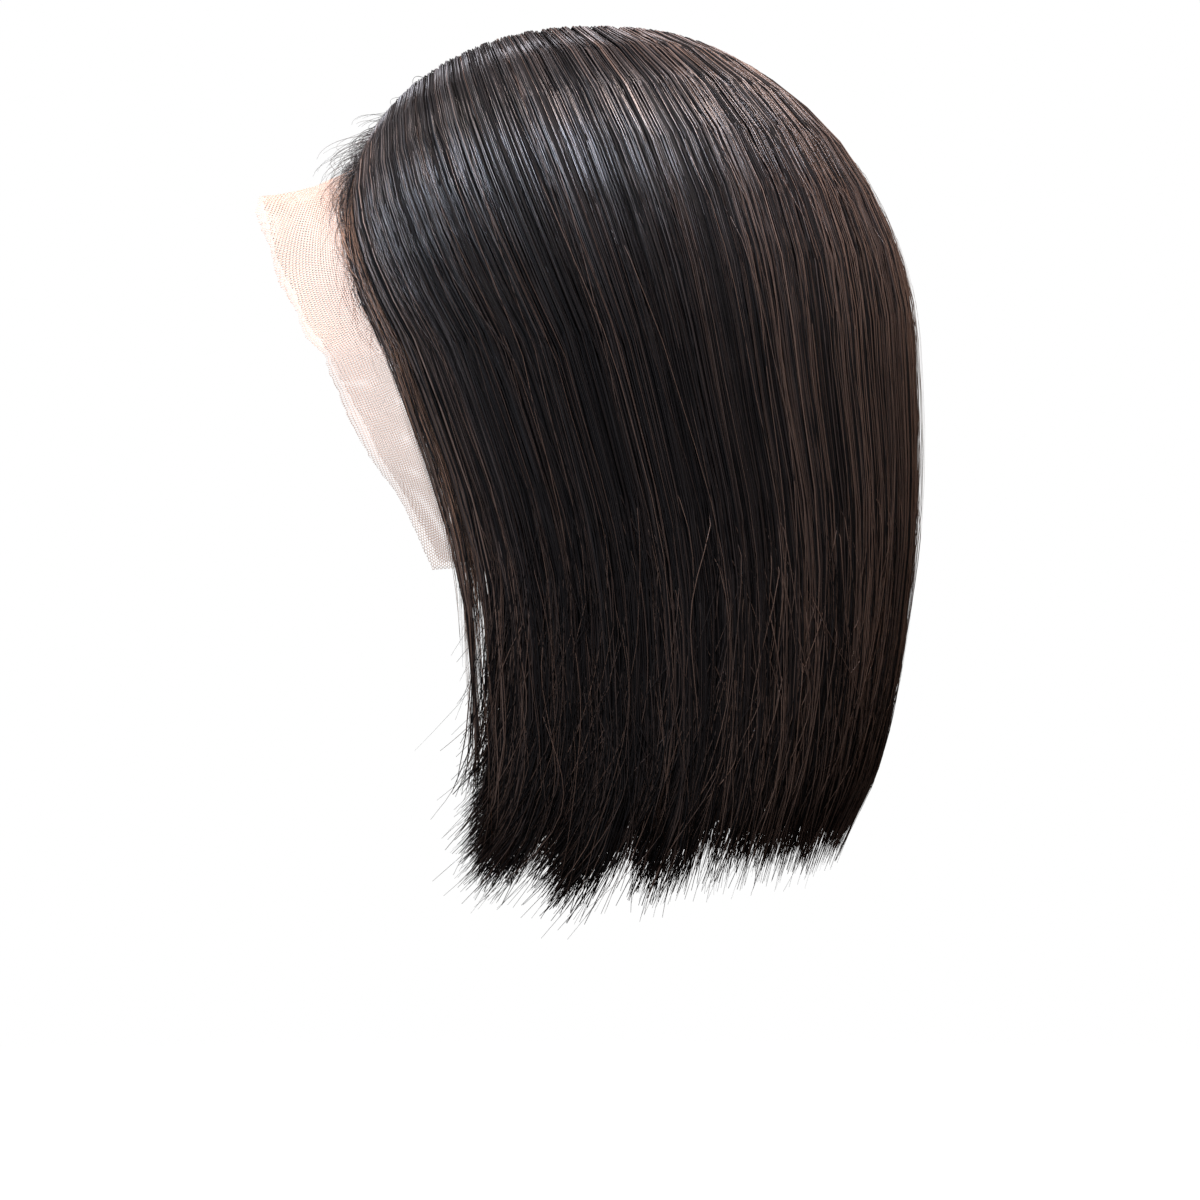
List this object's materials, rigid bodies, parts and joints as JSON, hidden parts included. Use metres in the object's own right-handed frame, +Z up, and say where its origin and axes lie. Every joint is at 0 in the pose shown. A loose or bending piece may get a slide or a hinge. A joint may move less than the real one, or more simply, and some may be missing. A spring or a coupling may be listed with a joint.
{
  "type": "bob wig",
  "caption": "Straight bob wig on a hollow cap, with a centre part, face-framing lengths and a sheer net front.",
  "frame": {"origin": "inside of the crown, where the cap rests on top of the wearer's head", "axes": "+Z up, the wearer faces -Y, and the wearer's left is +X"},
  "size_m": [0.1984, 0.2689, 0.3541],
  "materials": {
    "hair": "glossy straight strands",
    "cap": "matt stretch weave",
    "lace": "sheer fine net"
  },
  "bodies": {
    "root": {"wig_cap": "cap", "lace_front": "lace", "hair_front_left": "hair", "hair_side_left": "hair", "hair_front_right": "hair", "hair_side_right": "hair", "hair_back": "hair"}
  },
  "joints": []
}
